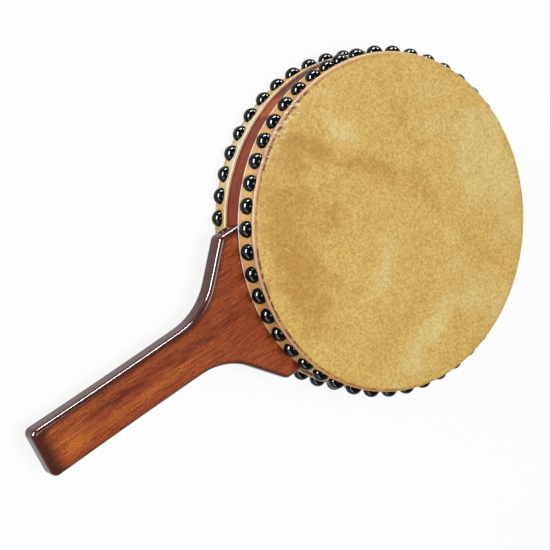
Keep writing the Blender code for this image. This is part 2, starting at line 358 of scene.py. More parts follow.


# %% [markdown]
# Where the skin folds over the shell's edge it has a thin brown crease, and its cut edge is
# cream, lightened to near white by a painted highlight. These could be painted on by hand,
# but three more marks put them right on the fold all the way round: crease and rim are the
# distances in mm out from the crease and up from the cut edge, and worn is how strongly the
# crease shows. On the front it shows round a little more than half of the drum. Above 1 it
# is broken into dark dots, and further up it is ragged, with brown gaps and pale scuffs.


# %% Age the fold and the skirt
def edge_coats(hide, tone, cloudy, fleck):
    """Coats for the skirt, fold and crease, then painted light on the skirt and the cut edge."""
    crease, rim, worn = (hide.mark(name) for name in ("crease", "rim", "worn"))
    skirt = crease.ramp(4.0, 7.0)
    skirt_colour = hide.blend(cloudy.ramp(0.36, 0.58), paint(218, 177, 90), paint(232, 163, 54))
    fold = crease.ramp(0.1, 0.9) * crease.ramp(5.5, 3.6)
    line = crease.ramp(-1.0, -0.2) * crease.ramp(0.9, 0.2) * worn
    broken = hide.noise(hide.place(), 300.0, 2.0, 0.7).ramp(0.60, 0.40)
    dots = line * worn.ramp(1.0, 1.25) * broken.ramp(0.3, 0.7)
    ragged = worn.ramp(1.3, 1.6)
    gaps = ragged * crease.ramp(-2.0, -0.6) * crease.ramp(3.6, 2.4) * fleck.ramp(0.46, 0.38)
    scratch = hide.noise(hide.place((1, 0.35, 1), 25), 600.0, 3.0, 0.6, 0.5)
    scuffs = ragged * crease.ramp(-7.5, -3.0) * crease.ramp(4.2, 3.0) * scratch.ramp(0.52, 0.64)
    return [
        (skirt * 0.85, skirt_colour),
        (fold * (0.12 + worn * 0.6), paint(194, 136, 76)),
        (line * (0.45 + broken * 0.5), paint(156, 86, 34)),
        (dots, paint(92, 50, 24)),
        (gaps, paint(112, 62, 28)),
        (scuffs * 0.6, paint(246, 230, 184)),
        # Painted light: the skirt turns pale where the tone is high, on the left of the back hide.
        (tone.ramp(0.9, 1.6) * skirt * 0.75, paint(240, 228, 186)),
        # The cut edge: its own cream, brightened to near white as a painted highlight.
        (rim.ramp(1.5, 0.8), paint(254, 247, 228)),
    ]


# %% [markdown]
# Both sets of coats share their noises, so that a fleck of the skin also breaks the crease.
# The sheen is softer on the grains of the pebble, and a bump a tenth of a millimetre high
# does for the pores, which are too small to be shape.


# %% Mix the rawhide
def make_hide_finish():
    """The skin's coats, then the edge's, with a soft sheen and a low bump from the noises."""
    hide = Finish("rawhide", 0.35)
    tone = hide.mark("tone")
    cloudy = hide.noise(hide.place(), 75.0, 4.0, 0.6, 0.3)
    pebble = hide.noise(hide.place(), 620.0, 3.0, 0.6)
    fibre = hide.noise(hide.place((1, 0.25, 1), 40), 560.0, 3.0, 0.6)
    fleck = hide.noise(hide.place((1, 0.7, 1), 50), 600.0, 4.0, 0.7, 0.4)
    colour = skin_colour(hide, tone, cloudy, pebble, fibre, fleck)
    colour = hide.cover(colour, edge_coats(hide, tone, cloudy, fleck))
    hide.feed(Base_Color=colour, Roughness=0.46 + pebble * 0.2)
    hide.bump(pebble * 0.5 + cloudy * 0.8 + fibre * 0.3, 0.10 * MM)
    return hide.material


hide_finish = make_hide_finish()
print("nodes in the rawhide:", len(hide_finish.node_tree.nodes))

# %% [markdown]
# ## The hide's outline
# Each hide is a shallow cup, soaked, pulled over the shell and nailed while wet. A cloth
# simulation could drape it, but dried rawhide is stiff and its form is plain, so it is drawn
# once as an outline. That runs from the middle of the face out to the fold, round it, down
# the skirt to the cut edge and back up the inside. The wet fold swells a little, and the row
# of tacks pulls the skirt in below it. The face has fine rows near the fold, where the
# crease is, and ROW_GAP keeps two runs of rows from meeting on one point.

# %% Outline of a hide
COARSE_TO = 99 * MM
FINE_FROM = 99.3 * MM
FALL_FROM = 101 * MM
FOLD_DROP = 0.25 * MM
FOLD_RADIUS = 1.7 * MM
FOLD_SWELL = 0.5 * MM
SWELL_SPREAD = 1.3 * MM
STUD_PULL = 0.3 * MM
PULL_SPREAD = 4.5 * MM
STUD_ROW_DEPTH = 7.1 * MM
SKIRT_START = 0.5 * MM
ROW_GAP = 0.2 * MM
EDGE_SOFTNESS = 0.35 * MM
INNER_CORNER = 1 * MM
COARSE_ROWS = 36
FINE_ROWS = 19
FOLD_ROWS = 12
SKIRT_ROWS = 18
LIP_ROWS = 5
UNDER_ROWS = 8
FOLD_LOW = FOLD_DROP + FOLD_RADIUS
FOLD_START = HIDE_RADIUS + FOLD_SWELL - FOLD_RADIUS


def hide_outline():
    """r and z with the face at z = 0, and how many of the points are on the outside.

    The face falls by D f^2, where f rises from 0 to 1 at the fold. The skirt is straight but
    for a hump out at its top and a hump in at the tacks.
    """
    coarse = np.linspace(0, COARSE_TO, COARSE_ROWS)
    fine = np.linspace(FINE_FROM, FOLD_START - ROW_GAP, FINE_ROWS)
    face_r = np.concatenate([coarse, fine])
    fall = np.clip((face_r - FALL_FROM) / (FOLD_START - FALL_FROM), 0, 1)
    face = np.stack([face_r, -FOLD_DROP * fall**2], axis=-1)
    fold = bend(FOLD_START, -FOLD_LOW, FOLD_RADIUS, math.pi / 2, 0, FOLD_ROWS)
    lip_z = EDGE_SOFTNESS - SKIRT_DEPTH
    skirt_z = np.linspace(-FOLD_LOW - SKIRT_START, lip_z + ROW_GAP, SKIRT_ROWS)
    swell = FOLD_SWELL * hump(skirt_z, -FOLD_LOW, SWELL_SPREAD)
    pull = STUD_PULL * hump(skirt_z, -STUD_ROW_DEPTH, PULL_SPREAD)
    skirt = np.stack([HIDE_RADIUS + swell - pull, skirt_z], axis=-1)
    lip = bend(HIDE_RADIUS - EDGE_SOFTNESS, lip_z, EDGE_SOFTNESS, 0, -math.pi / 2, LIP_ROWS)
    inner = HIDE_RADIUS - HIDE_THICKNESS
    inside_z = np.array([-SKIRT_DEPTH, -SKIRT_DEPTH / 2, -HIDE_THICKNESS - INNER_CORNER])
    inside = np.stack([inner + 0 * inside_z, inside_z], axis=-1)
    under_r = np.linspace(inner - INNER_CORNER, 0, UNDER_ROWS)
    under = np.stack([under_r, 0 * under_r - HIDE_THICKNESS], axis=-1)
    outside = [face, fold, skirt, lip]
    outline = np.concatenate([*outside, inside, under])
    return outline[:, 0], outline[:, 1], sum(len(part) for part in outside)


print("points down a hide's outline:", len(hide_outline()[0]))

# %% [markdown]
# ## Relief on the hides
# A knife cut and a wet fold are never quite even. A displacement texture could roughen them,
# but it would do so everywhere, and the photograph shows where the relief lies. So small
# numbers are added to the outline as it goes round: a groove at the crease, lumps where the
# wet hide gathered, and an uneven cut edge. The crease runs nearer the edge round the bottom
# of the picture, about CREASE_FAR degrees round the drum. In the formulas a is the angle
# round the drum and c the distance from the crease in mm, and the groove and the lumps have
# their place and their width in mm too.

# %% Formulas for the relief
CREASE_RADIUS = 102.7 * MM
CREASE_DRIFT = 1.5 * MM
CREASE_FAR = 332
CREASE_SPREAD = 45
GROOVE_PLACE, GROOVE_WIDTH = 0.1, 0.5
GROOVE_DEPTH = 0.09 * MM
GROOVE_CHANGE = 0.04 * MM
LUMP_PLACE, LUMP_WIDTH = 0.9, 2.0
LUMP_DEPTH = 0.20 * MM
EDGE_BAND = 5 * MM
EDGE_WAVE = 0.4 * MM


def crease_distance(r, z, angle):
    """In mm past the crease: the way along the leaning hide, less the crease's radius and drift."""
    along = np.cumsum(np.hypot(np.diff(r, prepend=0), np.diff(z, prepend=0)))
    leaning = along - np.minimum(along / FOLD_START, 1) * sag(angle)
    drift = CREASE_DRIFT * hump(np.degrees(angle), CREASE_FAR, CREASE_SPREAD)
    return (leaning - CREASE_RADIUS - drift) / MM


def groove(angle, crease):
    """G + g sin(31 a) sin(7 a + 1), which fades on both sides of the crease."""
    change = GROOVE_CHANGE * np.sin(31 * angle) * np.sin(7 * angle + 1)
    return hump(crease, GROOVE_PLACE, GROOVE_WIDTH) * (GROOVE_DEPTH + change)


def lumps_between(angle, crease):
    """L (1.6 - sin(71 a) sin(23 a + 2) - 0.6 sin(113 a + c)): how far the skin sinks by its lumps."""
    gather = np.sin(71 * angle) * np.sin(23 * angle + 2) + 0.6 * np.sin(113 * angle + crease)
    return hump(crease, LUMP_PLACE, LUMP_WIDTH) * (1.6 - gather) * LUMP_DEPTH


def edge_lift(angle, z, turn):
    """W (0.5 + 0.3 sin(5 a + t) + 0.15 sin(13 a) + 0.05 sin(37 a)), full at the cut edge."""
    near_edge = np.clip((EDGE_BAND - SKIRT_DEPTH - z) / EDGE_BAND, 0, 1) ** 2
    waves = 0.3 * np.sin(5 * angle + turn) + 0.15 * np.sin(13 * angle) + 0.05 * np.sin(37 * angle)
    return near_edge * (0.5 + waves) * EDGE_WAVE


print(f"groove {GROOVE_DEPTH / MM:.2f} mm deep, cut edge uneven by up to {EDGE_WAVE / MM:.1f} mm")

# %% [markdown]
# ## The two hides
# Both hides are cut, stretched and nailed alike, so one function makes both. The outline is
# carried round the axis and leans in with the drum. Besides the relief, the skirt swells a
# little between the tacks. The marks for the finish are worked out on the same grid, in mm,
# so they can't slip against the shape. The skirt counts from SKIRT_FROM past the crease, and
# the inside gets the marks of a plain stretch of skirt.

# %% Carry the outline round the axis
FRONT_TURN = math.radians(2.6)
BACK_TURN = math.radians(-0.9)
STUD_COUNT = 49
ANGLE_STEPS = 14 * STUD_COUNT + 1
TACK_SWELL = 0.10 * MM
TACK_SPREAD = 4 * MM
SKIRT_FROM = 4.0
SKIRT_CREASE = 9.0
FAR_RIM = 20.0


def make_hide(name, turn, flip, wear, lumps, clouds, replaces):
    """The outline at each angle: r less its lean and swell, and z less its sink plus its lift.

    flip is -1 for the back hide, whose skirt points up. wear and lumps are lists of (degrees
    round the drum, amount), read between their entries.
    """
    r, z, outside = hide_outline()
    outer = np.arange(len(r)) < outside
    angle = np.linspace(0, 2 * math.pi, ANGLE_STEPS)[:, None]
    crease = crease_distance(r, z, angle)
    worn = np.interp(np.degrees(angle), *zip(*wear), period=360)
    lumpy = np.interp(np.degrees(angle), *zip(*lumps), period=360)
    stud_wave = np.cos(STUD_COUNT * (angle - HANDLE_ANGLE - turn))
    swell = hump(z, -STUD_ROW_DEPTH, TACK_SPREAD) * stud_wave * TACK_SWELL
    pulled_in = np.minimum(r / FOLD_START, 1) * lean_in(angle, DRUM_DEPTH + z)
    radius = r - pulled_in - outer * swell
    sink = groove(angle, crease) * worn + lumps_between(angle, crease) * lumpy
    height = z - outer * sink + edge_lift(angle, z, turn)
    points = around_axis(radius, height, angle + 0 * radius)
    points[..., 2] *= flip
    points[..., 2] += DRUM_DEPTH if flip > 0 else 0
    marks = {
        "crease": [np.where(outer, crease, SKIRT_CREASE)],
        "rim": [np.where(outer & (crease > SKIRT_FROM), (z + SKIRT_DEPTH) / MM, FAR_RIM)],
        "worn": [worn + 0 * radius],
        "tone": [soft_spots(points[..., 0] / MM, points[..., 1] / MM, clouds)],
    }
    return add_piece(name, [points], hide_finish, marks, sharp=50.0, replaces=replaces)


print("points round a hide:", ANGLE_STEPS)

# %% [markdown]
# The clouds are set from the photograph, paler above zero and browner below it. The
# crease shows from the lower left round to the top, and the lumps lie at the upper left.
# The back's face can't be seen there, so its few clouds are a guess. The first and
# strongest of them also paints light on the left of the back's skirt.

# %% Place the clouds and make both hides
FRONT_CLOUDS = [
    (-70, -11, 15, 7.5, 42, 1.1), (6, 90, 58, 22, 0, 0.7), (-40, 54, 26, 9, -5, 0.5),
    (72, -4, 24, 9, -75, 1.1), (84, -36, 26, 8, -75, 0.6), (22, -24, 20, 10, -50, 0.9),
    (40, -48, 18, 8, -50, 0.5), (50, -80, 34, 8, 35, 0.3), (88, 42, 22, 12, 100, 0.4),
    (-70, -34, 26, 6, 46, -0.9), (-40, 2, 22, 7, 45, -0.6), (0, 28, 34, 7, 30, -0.45),
    (52, 56, 22, 7, 25, -0.6), (-16, -82, 34, 12, -4, -1.3), (-2, -64, 26, 12, 0, -0.5),
    (-62, -58, 24, 12, -20, -0.45), (-72, 32, 18, 9, 0, -0.45), (48, -42, 12, 12, 0, -0.3),
    (52, -6, 20, 6, -70, -0.4), (-28, -40, 14, 12, 0, -0.5), (0, 78, 90, 30, 0, 0.3),
    (-15, -58, 70, 30, 0, -0.2), (25, -84, 40, 13, 12, -0.35),
    (74, 44, 30, 26, 0, 0.45)]
FRONT_WEAR = [
    (0, 0), (150, 0), (168, 0.5), (190, 0.9), (197, 1.7), (221, 1.7), (228, 0.9), (246, 1.0),
    (252, 1.3), (282, 1.3), (288, 1.0), (328, 1.0), (342, 0.4), (352, 0)]
FRONT_LUMPS = [(0, 0), (188, 0.1), (200, 1), (218, 1), (228, 0.1)]
# The first cloud is painted light on the back skirt's left; the rest are a guess.
BACK_CLOUDS_AND_SKIRT_LIGHT = [
    (-88, -62, 62, 26, -55, 1.7), (25, -20, 40, 25, 30, 0.5), (-40, 30, 35, 30, 70, -0.4),
    (10, 55, 30, 18, 0, 0.4)]
BACK_WEAR = [(0, 0.6), (120, 0.3), (240, 0.7)]
BACK_LUMPS = [(0, 0.2)]

front_marks = (FRONT_WEAR, FRONT_LUMPS, FRONT_CLOUDS)
front_hide = make_hide("front_hide", FRONT_TURN, 1, *front_marks, ["front_head"])
back_marks = (BACK_WEAR, BACK_LUMPS, BACK_CLOUDS_AND_SKIRT_LIGHT)
make_hide("back_hide", BACK_TURN, -1, *back_marks, ["back_head"])
print("hide points:", len(front_hide.data.vertices))

# %% [markdown]
# ## Enamel
# The tacks are black enamel: almost no colour of their own, only what they reflect. A plain
# black shader would give reflections as clean as glass. Here a faint ripple bends them, as
# on a dipped or sprayed head, and a little dust lies on the enamel.


# %% Mix the enamel
def make_enamel():
    """Near black with grey where the dust is thick, very smooth, and a ripple as the bump."""
    enamel = Finish("black_enamel", 0.17)
    ripple = enamel.noise(enamel.place(), 260.0, 2.0, 0.5)
    dust = enamel.noise(enamel.place(), 1500.0, 2.0, 0.6)
    dusty = dust.ramp(0.62, 0.8) * 0.4
    enamel.feed(Base_Color=enamel.blend(dusty, paint(2, 2, 3), paint(14, 12, 13)))
    enamel.feed(Roughness=0.035 + dust * 0.03)
    enamel.bump(ripple, 0.03 * MM)
    return enamel.material


enamel_finish = make_enamel()
print("nodes in the enamel:", len(enamel_finish.node_tree.nodes))

# %% [markdown]
# ## The domed studs
# A tack's head is pressed from sheet, so it is a low dome with a short straight rim, let a
# little into the hide. Half a sphere, scaled and copied round, would be quicker, but these
# weren't set by a machine. Each stands about square to the leaning skirt, so it looks
# slightly towards its own face of the drum. The front ones aren't quite evenly spaced, so
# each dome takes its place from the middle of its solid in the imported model. The back ones,
# of which few show, are even.

# %% Shape of a dome
STUD_RADIUS = 5.1 * MM
STUD_HEIGHT = 4.6 * MM
STUD_REACH = HIDE_RADIUS + 3.5 * MM
STUD_RIM = 0.6 * MM
STUD_TILT = math.radians(4)
DOME_ROWS = 19
DOME_SPOKES = 41


def make_dome(name, angle, height, replaces=()):
    """r = R sin t and h = H cos t from the crown to the rim, then down the rim and flat under.

    The dome's axis points out of the drum's side and leans towards the nearer face.
    """
    from_middle = height - HALF_DEPTH
    wall_slope = math.atan(2 * sag(angle) * from_middle / HALF_DEPTH**2)
    lean = wall_slope + math.copysign(STUD_TILT, from_middle)
    seat = min(HIDE_RADIUS - lean_in(angle, height) - STUD_PULL, STUD_REACH - STUD_HEIGHT)
    t = np.radians(np.linspace(0, 90, DOME_ROWS))
    r = np.concatenate([STUD_RADIUS * np.sin(t), [STUD_RADIUS, 0.0]])
    h = np.concatenate([STUD_HEIGHT * np.cos(t), [-STUD_RIM, -STUD_RIM]])
    turn = np.linspace(0, 2 * math.pi, DOME_SPOKES)[:, None, None]
    outward = np.array([math.cos(angle), math.sin(angle), 0.0])
    aside = np.array([-math.sin(angle), math.cos(angle), 0.0])
    axis = outward * math.cos(lean) + (0, 0, math.sin(lean))
    up = outward * -math.sin(lean) + (0, 0, math.cos(lean))
    spoke = aside * np.cos(turn) + up * np.sin(turn)
    grid = seat * outward + (0, 0, height) + axis * h[:, None] + spoke * r[:, None]
    return add_piece(name, [grid], enamel_finish, sharp=60.0, replaces=replaces)


def solid_middle(node):
    """The mean of a solid's points, which lies on the axis of a turned piece."""
    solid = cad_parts[node]
    flat = np.empty(3 * len(solid.data.vertices))
    solid.data.vertices.foreach_get("co", flat)
    place = np.array(solid.matrix_world)
    return place[:3, :3] @ flat.reshape(-1, 3).mean(0) + place[:3, 3]


print(f"a dome is {STUD_RADIUS * 2 / MM:.1f} mm across and {STUD_HEIGHT / MM:.1f} mm high")

# %% [markdown]
# Both rows are set in one pass. Each stud gets its own mesh, because no two lean quite alike.
# The back row's studs belong to the back hide's solid, which the hide's own piece stands for,
# so they replace nothing.

# %% Set both rows of studs
for index in range(STUD_COUNT):
    number = f"{index + 1:02d}"
    node = f"front_stud_{number}"
    middle = solid_middle(node)
    front_angle = math.atan2(middle[1], middle[0])
    back_angle = HANDLE_ANGLE + BACK_TURN + 2 * math.pi * index / STUD_COUNT
    make_dome(f"front_dome_{number}", front_angle, DRUM_DEPTH - STUD_ROW_DEPTH, [node])
    make_dome(f"back_dome_{number}", back_angle, STUD_ROW_DEPTH)
print("studs set:", 2 * STUD_COUNT)

# %% [markdown]
# ## The shell
# The ring is turned wood, stained dark red-brown, and its grain runs round it. A pattern on
# plain coordinates would cut straight through the ring, as through a plank, so the finish
# reads a map of the surface: the way round in metres, and the height. The mark tone says
# where the stain is thin and orange, near a joint at the upper left, and where a painted
# reflection greys the ring.

# %% Stain the shell
SHELL_WALL = 10.0 * MM
BEARING_RADIUS = 1.0 * MM
BORE_CHAMFER = 2.0 * MM
SHELL_TURNS = 361
ARC_ROWS = 6
WALL_ROWS = 14
# Tones above 0 are thin orange stain; tones below 0 are a painted reflection, purple-grey.
SHELL_TONES_AND_REFLECTION = [
    (100, 0), (170, -0.9), (192, -0.8), (196, 0.9), (203, 0.8), (204.5, -0.4), (225, 0), (300, 0)]


def make_shell_finish():
    """Streaks drawn out ten times along the way round; cloud, stain, painted reflection and pores."""
    wood = Finish("shell_wood", 0.06)
    where = wood.node("CombineXYZ", {}, {0: wood.mark("around") * 0.10, 1: wood.mark("up"), 2: 0.0})
    streak = wood.noise(where, 420.0, 4.0, 0.6, 0.8)
    pore = wood.noise(where, 1700.0, 2.0, 0.6)
    cloud = wood.noise(wood.place(), 38.0, 3.0, 0.5)
    tone = wood.mark("tone") + (streak - 0.5) * 0.6
    colour = wood.blend(streak.ramp(0.3, 0.7), paint(134, 54, 36), paint(164, 76, 50))
    colour = wood.cover(colour, [
        (cloud.ramp(0.45, 0.75) * 0.5, paint(128, 50, 40)),
        (cloud.ramp(0.42, 0.30) * 0.6, paint(186, 92, 46)),
        (tone.ramp(0.1, 0.8) * 0.8, paint(196, 98, 50)),
        # Painted reflection: purple-grey where the tone is below 0.
        (tone.ramp(-0.1, -0.8) * 0.7, paint(122, 70, 72)),
        (pore.ramp(0.42, 0.30) * 0.4, paint(92, 34, 24)),
    ])
    wood.feed(Base_Color=colour, Roughness=0.30 + streak * 0.15)
    wood.bump(streak + pore * 0.4, 0.04 * MM)
    return wood.material


shell_finish = make_shell_finish()
print("nodes in the shell's wood:", len(shell_finish.node_tree.nodes))

# %% [markdown]
# A shell is turned on a lathe, and this one is made the same way. One cylinder cut out of
# another would leave sharp edges and long thin faces. So the ring's outline is a closed loop:
# over the two bearing edges, down the outside, and up the chamfered bore. It is carried round
# with its seam hidden behind the handle.


# %% Turn the shell
def make_shell(finish):
    """Wall, edges and bore as one loop (r, z), leaning in by (r - bore) / wall of the lean."""
    low, high = shell_low.z, shell_high.z
    bore = SHELL_RADIUS - SHELL_WALL
    rounded = SHELL_RADIUS - BEARING_RADIUS
    top = bend(rounded, high - BEARING_RADIUS, BEARING_RADIUS, math.pi / 2, 0, ARC_ROWS)
    wall_z = np.linspace(high - BEARING_RADIUS, low + BEARING_RADIUS, WALL_ROWS)[1:-1]
    wall = np.stack([0 * wall_z + SHELL_RADIUS, wall_z], axis=-1)
    foot = bend(rounded, low + BEARING_RADIUS, BEARING_RADIUS, 0, -math.pi / 2, ARC_ROWS)
    inside_r = np.array([bore + BORE_CHAMFER, bore, bore, bore + BORE_CHAMFER])
    inside_z = np.array([low, low + BORE_CHAMFER, high - BORE_CHAMFER, high])
    inside = np.stack([inside_r, inside_z], axis=-1)
    loop = np.concatenate([top, wall, foot, inside, top[:1]])
    r, z = loop[:, 0], loop[:, 1]
    angle = HANDLE_ANGLE + np.linspace(0, 2 * math.pi, SHELL_TURNS)[:, None]
    pulled_in = (r - bore) / SHELL_WALL * lean_in(angle, z)
    points = around_axis(r - pulled_in, z + 0 * angle, angle + 0 * r)
    tone = np.interp(np.degrees(angle), *zip(*SHELL_TONES_AND_REFLECTION), period=360)
    marks = {
        "around": [(angle - HANDLE_ANGLE) * SHELL_RADIUS + 0 * r],
        "up": [z + 0 * angle],
        "tone": [tone + 0 * r],
    }
    return add_piece("shell_ring", [points], finish, marks, replaces=["shell"])


shell_ring = make_shell(shell_finish)
print("shell points:", len(shell_ring.data.vertices))

# %% [markdown]
# ## The handle's outline
# The handle is one flat board, sawn out and rounded over by hand. Its outline is made of a
# hollow seat, a blunt tip on each horn, a straight run, a cove, a faintly hollow grip and a
# square butt. Every edge but the seat's is rounded over. A bevel could do that on the packed
# solid, but its faces are large and uneven, and a bevel pinches there. So the round-over is
# the outline drawn again and again, moved inwards a little each time.

# %% The handle's sizes
SEAT_RADIUS = SHELL_RADIUS + FIT_GAP
HORN = handle_high.x
TIP_LENGTH = 13.8 * MM
TIP_ROUND = 5.0 * MM
HORN_SLOPE = math.radians(48)
COVE_RADIUS = 41 * MM
NECK = 15.2 * MM
GRIP_HOLLOW = 0.3 * MM
BUTT = 15.1 * MM
BUTT_ROUND = 4.0 * MM
EDGE_ROUND = 3.0 * MM
BUTT_Y = handle_low.y
FACET_STEPS = 9
CORNER_STEPS = 9
RUN_STEPS = 15
COVE_STEPS = 34
GRIP_STEPS = 63
BUTT_STEPS = 8
GRIP_COLUMNS = 49

tip_y = -math.sqrt(SEAT_RADIUS**2 - HORN**2) - TIP_LENGTH
cove_x = NECK + COVE_RADIUS * (1 - math.cos(HORN_SLOPE))
cove_y = tip_y - (HORN - cove_x) / math.tan(HORN_SLOPE)
neck_y = cove_y - COVE_RADIUS * math.sin(HORN_SLOPE)
grip_length = neck_y - BUTT_Y
print(f"neck {-neck_y / MM:.1f} mm from the drum's axis, grip {grip_length / MM:.1f} mm long")

# %% [markdown]
# The outline could be moved inwards point by point, but lines and arcs stay true when each
# is worked out again. Moved inwards, an outside corner's radius shrinks and a cove's grows.
# The tip's corner turns from straight down to the slope of the horn, so its arc ends at the
# slope's angle. Points across the board run from 1 to -1 as a sine does, so they lie closer
# near the edges.


# %% The outline at any inset
def side_outline(inset):
    """The right side from seat to butt, each radius less the inset, and the cove's plus it.

    The grip's half width is that of a straight taper, less 4 G s (1 - s) for its hollow.
    """
    x = HORN - inset
    corner_y = tip_y + TIP_ROUND * math.tan(HORN_SLOPE / 2)
    seat_y = -math.sqrt(SEAT_RADIUS**2 - x**2)
    share = np.linspace(0, 1, FACET_STEPS + 1)[:-1]
    facet = np.stack([x + 0 * share, seat_y + (corner_y - seat_y) * share], axis=-1)
    corner = bend(HORN - TIP_ROUND, corner_y, TIP_ROUND - inset, 0, -HORN_SLOPE, CORNER_STEPS)
    cove_start = math.pi - HORN_SLOPE
    cove = bend(NECK + COVE_RADIUS, neck_y, COVE_RADIUS + inset, cove_start, math.pi, COVE_STEPS)
    share = np.linspace(0, 1, RUN_STEPS + 1)[1:-1, None]
    run = corner[-1] + (cove[0] - corner[-1]) * share
    share = np.linspace(0, 1, GRIP_STEPS + 1)[1:]
    length = grip_length - BUTT_ROUND
    wide = NECK + (BUTT - NECK) * share - 4 * GRIP_HOLLOW * share * (1 - share)
    grip = np.stack([wide - inset, neck_y - length * share], axis=-1)
    butt_x, butt_y = BUTT - BUTT_ROUND, BUTT_Y + BUTT_ROUND
    butt = bend(butt_x, butt_y, BUTT_ROUND - inset, 0, -math.pi / 2, BUTT_STEPS + 1)
    return np.concatenate([facet, corner, run, cove, grip, butt[1:]])


NECK_INDEX = len(side_outline(0.0)) - GRIP_STEPS - BUTT_STEPS - 1
ACROSS_SEAT = np.sin(np.linspace(math.pi / 2, -math.pi / 2, 2 * NECK_INDEX + 1))
ACROSS_GRIP = np.sin(np.linspace(math.pi / 2, -math.pi / 2, GRIP_COLUMNS))


def seat_arc(x):
    """y = -sqrt(R^2 - x^2): the hollow that fits the shell."""
    return np.stack([x, -np.sqrt(SEAT_RADIUS**2 - x**2)], axis=-1)


print("points down one side to the neck:", NECK_INDEX + 1)

# %% [markdown]
# ## The handle's wood
# The board's grain runs along it in long wavy streaks, orange where the stain is thin and
# purple-brown where it is thick. A wave texture makes grain too, but its lines are as even
# as a comb's, so these are noises squeezed along the board and shifted by a slow one. The
# mark tone says where the streaks lie on this handle, and also paints a shadow on the yoke
# next to the seat. A second mark paints shade and a dark reflection round the borders:
# broad at the butt, narrow at the sides.


# %% Stain the handle
def make_handle_finish():
    """Three noises drawn out along the board and one of short specks, laid on in coats."""
    wood = Finish("handle_wood", 0.3)
    wander = wood.noise(wood.place(), 16.0, 2.0, 0.5)
    shift = wood.node("CombineXYZ", {}, {0: wander * 0.007, 1: 0.0, 2: 0.0})
    along = wood.place((1.0, 0.06, 1.0))
    where = wood.node("VectorMath", {"operation": "ADD"}, {0: along, 1: shift})
    broad = wood.noise(where, 130.0, 3.0, 0.5, 0.3)
    streak = wood.noise(where, 420.0, 4.0, 0.6, 0.5)
    fine = wood.noise(where, 1500.0, 3.0, 0.6)
    shade = wood.mark("tone") + (broad - 0.5) * 1.5 + (streak - 0.5) * 1.3
    speck = wood.noise(wood.place((1.0, 0.4, 1.0)), 1400.0, 2.0, 0.6)
    # Painted shade and dark reflection: the board darker round its borders.
    edge_shade = wood.mark("edge_shade") + (broad - 0.5) * 0.5
    colour = wood.blend(shade.ramp(-1.2, 0.1), paint(104, 40, 28), paint(158, 74, 40))
    colour = wood.cover(colour, [
        (shade.ramp(0.1, 1.2), paint(200, 110, 46)),
        (fine.ramp(0.49, 0.36) * 0.6, paint(88, 34, 22)),
        (fine.ramp(0.56, 0.66) * 0.35, paint(214, 126, 62)),
        (speck.ramp(0.45, 0.33) * 0.6, paint(84, 30, 22)),
        # The painted border shade, dark purple-brown.
        (edge_shade.ramp(0.15, 0.75) * 0.88, paint(58, 24, 20)),
    ])
    wood.feed(Base_Color=colour, Roughness=0.10 + streak * 0.08)
    wood.bump(streak * 0.7 + fine * 0.3, 0.012 * MM)
    return wood.material


handle_finish = make_handle_finish()
print("nodes in the handle's wood:", len(handle_finish.node_tree.nodes))

# %% [markdown]
# Both marks are formulas of a point's place, so that any grid of the board can carry them.
# The tones are set from the photograph, as the hide's clouds are. For the painted border
# shade, one number rises towards the butt and another towards the long sides, and the root
# of their squares rounds the inner corner. The widths of the shaded borders are in mm.

# %% Marks on the board
# Streaks of thin and thick stain; the one at y -116 is a painted shadow on the yoke by the seat.
WOOD_TONES_AND_SEAT_SHADE = [
    (5, -200, 45, 5, 90, 0.8), (3, -243, 13, 9, 90, 0.9), (-8, -226, 38, 3.5, 90, 0.4),
    (-3, -206, 22, 2.4, 90, -1.1), (-3, -145, 26, 2.6, 90, -0.8), (-6, -174, 12, 3, 90, -0.5),
    (8, -152, 18, 4, 90, 0.3), (0, -116, 40, 14, 0, -0.25), (26, -112, 16, 7, -45, 0.35)]
BUTT_BORDER = 14
LEFT_BORDER = 6.5
RIGHT_BORDER = 3.5


# Painted shade and dark reflection, broad at the butt and narrow along the sides.
def edge_shade_mask(grid):
    """The square root of a^2 + b^2, where a rises to the butt and b to the board's sides."""
    side = side_outline(0.0)
    x, y = grid[..., 0] / MM, grid[..., 1] / MM
    butt = np.clip(1 - (y - BUTT_Y / MM) / BUTT_BORDER, 0, 1)
    loop = np.concatenate([side, side * (-1, 1)]) / MM
    flat = np.stack([x.ravel(), y.ravel()], axis=-1)
    nearest = np.sqrt(((flat[:, None] - loop[None]) ** 2).sum(-1)).min(1).reshape(x.shape)
    sides = np.clip(1 - nearest / np.where(x < 0, LEFT_BORDER, RIGHT_BORDER), 0, 1)
    return np.hypot(butt, sides)


def board_tone_and_seat_shade(grid):
    """Above 0 where the stain is thin; below 0 where it is thick, and in a painted shadow by the
    seat.
    """
    return soft_spots(grid[..., 0] / MM, grid[..., 1] / MM, WOOD_TONES_AND_SEAT_SHADE)


print("soft spots on the board:", len(WOOD_TONES_AND_SEAT_SHADE))

# %% [markdown]
# ## The board
# The board's edge is a ring of the outline at each inset and height. A face could be one
# polygon with hundreds of corners, but that can't carry marks on its inside. So each face is
# four grids: two wings, ruled with straight lines from the outline to the hollow seat, the
# wedge that they leave between seat and neck, and the grip. Where their rows meet, their
# points are the same, so the weld closes them.


# %% Parts of the board
QUARTER_STEPS = 13
FLAT_STEPS = 6
WING_ROWS = 25
WING_CROWDING = 1.5


def edge_section():
    """Inset and height down the edge: a quarter round, the flat, and a quarter round."""
    half = (handle_high.z - handle_low.z) / 2
    quarter = bend(EDGE_ROUND, half - EDGE_ROUND, EDGE_ROUND, math.pi / 2, math.pi, QUARTER_STEPS)
    flat = np.linspace(1, -1, FLAT_STEPS)[1:-1, None] * (half - EDGE_ROUND) * (0, 1)
    section = np.concatenate([quarter, flat, quarter[::-1] * (1, -1)])
    return section[:, 0], section[:, 1] + (handle_high.z + handle_low.z) / 2


